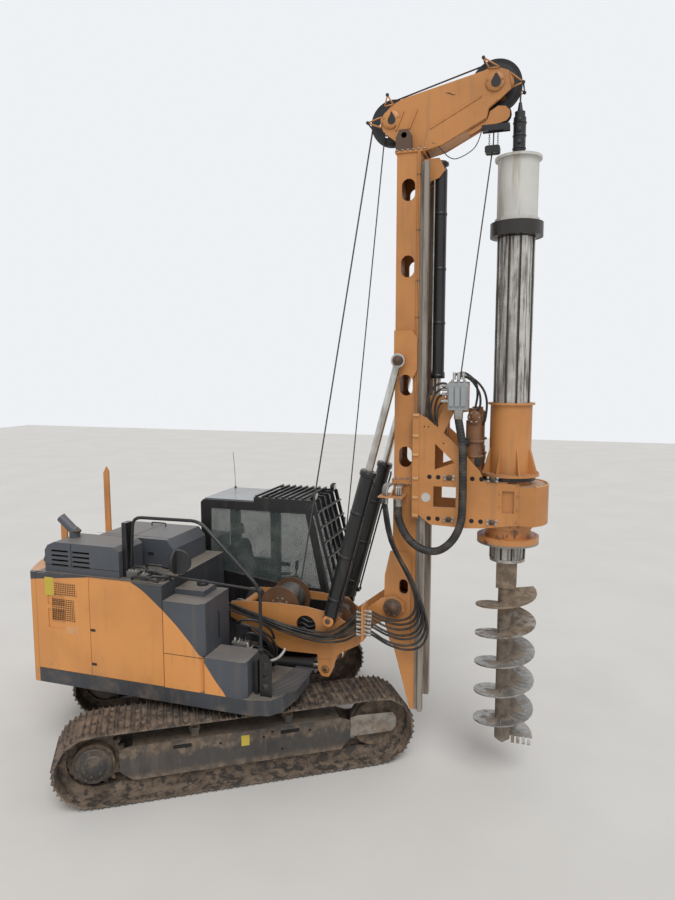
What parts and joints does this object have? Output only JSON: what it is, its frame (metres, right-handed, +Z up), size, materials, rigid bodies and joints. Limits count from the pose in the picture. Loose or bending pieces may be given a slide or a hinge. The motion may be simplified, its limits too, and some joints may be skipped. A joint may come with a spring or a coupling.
{
  "type": "rotary pile drilling rig",
  "caption": "Tracked drilling rig with a slewing house, an upright mast, a crowd carriage with rotary drive, a telescopic kelly bar and an auger.",
  "frame": {"origin": "middle of the rig's box on the ground", "axes": "+X runs forward along the house to the drilling axis, +Y to the cab side, +Z up along the mast"},
  "size_m": [6.1394, 4.327, 7.69],
  "materials": {
    "frame_grey": "matt paint under dried mud",
    "track_steel": "worn steel packed with mud",
    "roller_steel": "greasy steel",
    "house_orange": "satin paint",
    "rig_orange": "satin paint, dusty",
    "house_grey": "satin paint",
    "hood_grey": "textured paint",
    "engine_iron": "painted casting",
    "black_paint": "satin black paint",
    "black_plastic": "moulded",
    "glass": "tinted glass",
    "seat_fabric": "woven cover",
    "chrome": "polished rod",
    "wire_rope": "greased wire rope",
    "drum_iron": "rusty casting",
    "worn_steel": "bare steel with scale",
    "white_paint": "chalky paint",
    "hose_rubber": "hydraulic hose with a braided sleeve"
  },
  "bodies": {
    "undercarriage": {"carbody": "frame_grey", "frame_right": "frame_grey", "frame_left": "frame_grey", "track_right": "track_steel", "track_left": "track_steel", "wheels_right": "roller_steel", "wheels_left": "roller_steel"},
    "upper": {"deck": "house_grey", "counterweight": "house_orange", "house_shell": "house_grey", "air_box": "hood_grey", "exhaust": "hood_grey", "engine": "engine_iron", "tank": "hood_grey", "step_box": "hood_grey", "handrail": "black_paint", "side_mirror": "black_plastic", "mast_rest": "rig_orange", "cab_shell": "black_paint", "cab_glass": "glass", "cab_guard": "black_paint", "roof_guard": "black_paint", "operator_seat": "seat_fabric"},
    "rear_door": {"side_door_rear": "house_orange"},
    "front_door": {"side_door_front": "house_orange"},
    "service_door": {"left_door": "house_orange"},
    "hood": {"engine_hood": "hood_grey"},
    "cab_entry": {"cab_door": "black_paint", "door_glass": "glass"},
    "boom": {"boom": "rig_orange", "boom_hoses": "hose_rubber"},
    "main_winch": {"main_drum": "drum_iron"},
    "aux_winch": {"aux_drum": "drum_iron"},
    "boom_barrels": {"boom_ram_barrels": "black_paint"},
    "boom_rods": {"boom_ram_rods": "chrome"},
    "mast_barrels": {"mast_ram_barrels": "black_paint"},
    "mast_rods": {"mast_ram_rods": "chrome"},
    "mast": {"mast_lower": "rig_orange", "mast_upper": "rig_orange", "mast_head": "rig_orange", "aux_arm": "rig_orange", "hoist_rope": "wire_rope", "crowd_barrel": "black_paint", "mast_hoses": "hose_rubber", "hose_loop": "hose_rubber"},
    "rear_sheave": {"sheave_rear": "black_paint"},
    "front_sheave": {"sheave_front": "black_paint"},
    "small_sheave": {"aux_sheave": "black_paint"},
    "carriage": {"carriage": "rig_orange", "rotary_housing": "rig_orange", "rotary_motors": "drum_iron", "crowd_rod": "chrome", "hose_block": "hood_grey"},
    "drive": {"drive_sleeve": "worn_steel"},
    "outer_kelly": {"kelly_outer": "worn_steel", "kelly_head": "white_paint"},
    "middle_kelly": {"kelly_middle": "worn_steel"},
    "inner_kelly": {"kelly_inner": "worn_steel", "auger": "worn_steel"},
    "swivel": {"swivel": "black_paint"}
  },
  "joints": [
    {"name": "slew", "type": "hinge", "parent": "undercarriage", "child": "upper", "pos_m": [-0.70021, 0, 0.93], "axis": [0, 0, 1], "continuous": true},
    {"name": "rear_door_hinge", "type": "hinge", "parent": "upper", "child": "rear_door", "pos_m": [-2.54721, -1.25, 1.7], "axis": [0, 0, -1], "range_deg": [0, 85]},
    {"name": "front_door_hinge", "type": "hinge", "parent": "upper", "child": "front_door", "pos_m": [-1.81721, -1.25, 1.7], "axis": [0, 0, -1], "range_deg": [0, 85]},
    {"name": "service_door_hinge", "type": "hinge", "parent": "upper", "child": "service_door", "pos_m": [-2.54721, 1.25, 1.7], "axis": [0, 0, 1], "range_deg": [0, 85]},
    {"name": "hood_hinge", "type": "hinge", "parent": "upper", "child": "hood", "pos_m": [-2.26021, -0.255, 2.2503], "axis": [0, -1, 0], "range_deg": [0, 70]},
    {"name": "cab_door_hinge", "type": "hinge", "parent": "upper", "child": "cab_entry", "pos_m": [-0.60021, 1.2903, 1.9], "axis": [0, 0, 1], "range_deg": [0, 170]},
    {"name": "boom_luff", "type": "hinge", "parent": "upper", "child": "boom", "pos_m": [-0.44021, 0, 1.7], "axis": [0, -1, 0], "range_deg": [0, 12], "deforming": ["boom_hoses"]},
    {"name": "main_winch_turn", "type": "hinge", "parent": "boom", "child": "main_winch", "pos_m": [0.05979, 0, 1.76], "axis": [0, 1, 0], "continuous": true},
    {"name": "aux_winch_turn", "type": "hinge", "parent": "boom", "child": "aux_winch", "pos_m": [0.77979, 0, 1.69], "axis": [0, 1, 0], "continuous": true},
    {"name": "boom_barrel_swing", "type": "hinge", "parent": "upper", "child": "boom_barrels", "pos_m": [-0.25021, 0, 1.025], "axis": [0, -1, 0], "range_deg": [-1, 14]},
    {"name": "boom_rod_slide", "type": "slide", "parent": "boom_barrels", "child": "boom_rods", "axis": [0.9966, 0, 0.0821], "range_m": [-0.005, 0.175]},
    {"name": "mast_tilt", "type": "hinge", "parent": "boom", "child": "mast", "pos_m": [1.45979, 0, 1.94], "axis": [0, 1, 0], "range_deg": [-10, 3], "deforming": ["mast_hoses"]},
    {"name": "mast_barrel_swing", "type": "hinge", "parent": "boom", "child": "mast_barrels", "pos_m": [0.73979, 0, 1.74], "axis": [0, 1, 0], "range_deg": [-10, 4]},
    {"name": "mast_rod_slide", "type": "slide", "parent": "mast_barrels", "child": "mast_rods", "axis": [0.255, 0, 0.9669], "range_m": [-0.125, 0.045]},
    {"name": "rear_sheave_turn", "type": "hinge", "parent": "mast", "child": "rear_sheave", "pos_m": [1.34979, 0, 7.18], "axis": [0, 1, 0], "continuous": true},
    {"name": "front_sheave_turn", "type": "hinge", "parent": "mast", "child": "front_sheave", "pos_m": [2.41679, 0, 7.43], "axis": [0, 1, 0], "continuous": true},
    {"name": "crowd", "type": "slide", "parent": "mast", "child": "carriage", "axis": [0, 0, 1], "range_m": [-1.9, 0], "deforming": ["hose_loop"]},
    {"name": "small_sheave_turn", "type": "hinge", "parent": "mast", "child": "small_sheave", "pos_m": [2.48979, 0, 7.125], "axis": [0, 1, 0], "continuous": true},
    {"name": "rotary_spin", "type": "hinge", "parent": "carriage", "child": "drive", "pos_m": [2.65979, 0, 3], "axis": [0, 0, 1], "continuous": true},
    {"name": "outer_kelly_slide", "type": "slide", "parent": "drive", "child": "outer_kelly", "axis": [0, 0, 1], "range_m": [-1.69, 0]},
    {"name": "middle_kelly_slide", "type": "slide", "parent": "outer_kelly", "child": "middle_kelly", "axis": [0, 0, 1], "range_m": [-3.2, 0]},
    {"name": "inner_kelly_slide", "type": "slide", "parent": "middle_kelly", "child": "inner_kelly", "axis": [0, 0, 1], "range_m": [-3.2, 0]},
    {"name": "swivel_turn", "type": "hinge", "parent": "inner_kelly", "child": "swivel", "pos_m": [2.65979, 0, 6.7], "axis": [0, 0, 1], "continuous": true}
  ],
  "couplings": [
    {"joint": "boom_barrel_swing", "follows": "boom_luff", "ratio": 1.0774},
    {"joint": "boom_rod_slide", "follows": "boom_luff", "m_per_rad": 0.69631},
    {"joint": "mast_barrel_swing", "follows": "mast_tilt", "ratio": 0.886},
    {"joint": "mast_rod_slide", "follows": "mast_tilt", "m_per_rad": 0.66492},
    {"joint": "middle_kelly_slide", "follows": "inner_kelly_slide", "ratio": 1}
  ]
}
